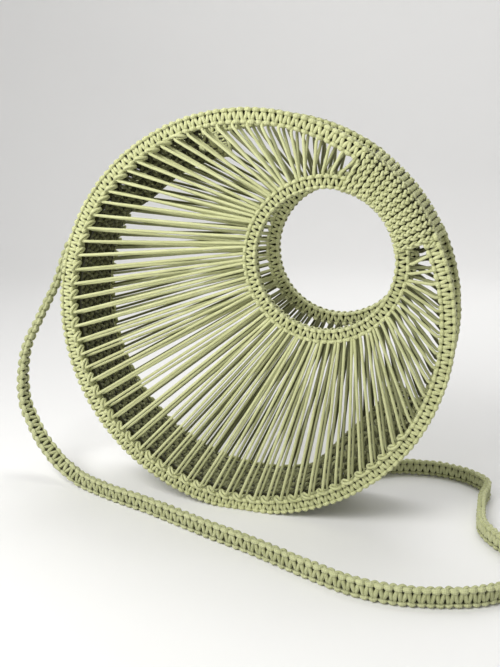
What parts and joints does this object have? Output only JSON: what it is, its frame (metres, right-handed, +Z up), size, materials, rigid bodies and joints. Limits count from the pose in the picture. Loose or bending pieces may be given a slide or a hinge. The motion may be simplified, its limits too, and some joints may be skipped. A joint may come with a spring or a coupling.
{
  "type": "macrame bag",
  "caption": "Round knotted-cord handbag with an off-centre hand hole, spoked faces, a net gusset, a plaited wrapped grip and a long flat knotted strap.",
  "frame": {"origin": "on the floor below the middle of the bag, halfway between its two faces", "axes": "+Z up, the front face towards -Y, the hand hole and the grip towards +X and +Z"},
  "size_m": [0.3586, 0.1729, 0.2525],
  "materials": {
    "knotted_cord": "pale sage braided cord, knotted, matt",
    "spoke_cord": "pale sage braided cord, drawn straight, matt",
    "net_cord": "pale sage braided cord in a close knotted net, matt",
    "plait_cord": "pale sage braided cord, plaited, matt"
  },
  "bodies": {
    "root": {"front_outer_ring": "knotted_cord", "back_outer_ring": "knotted_cord", "front_inner_ring": "knotted_cord", "back_inner_ring": "knotted_cord", "front_web": "spoke_cord", "back_web": "spoke_cord", "gusset": "net_cord", "grip": "plait_cord", "strap": "knotted_cord"}
  },
  "joints": []
}
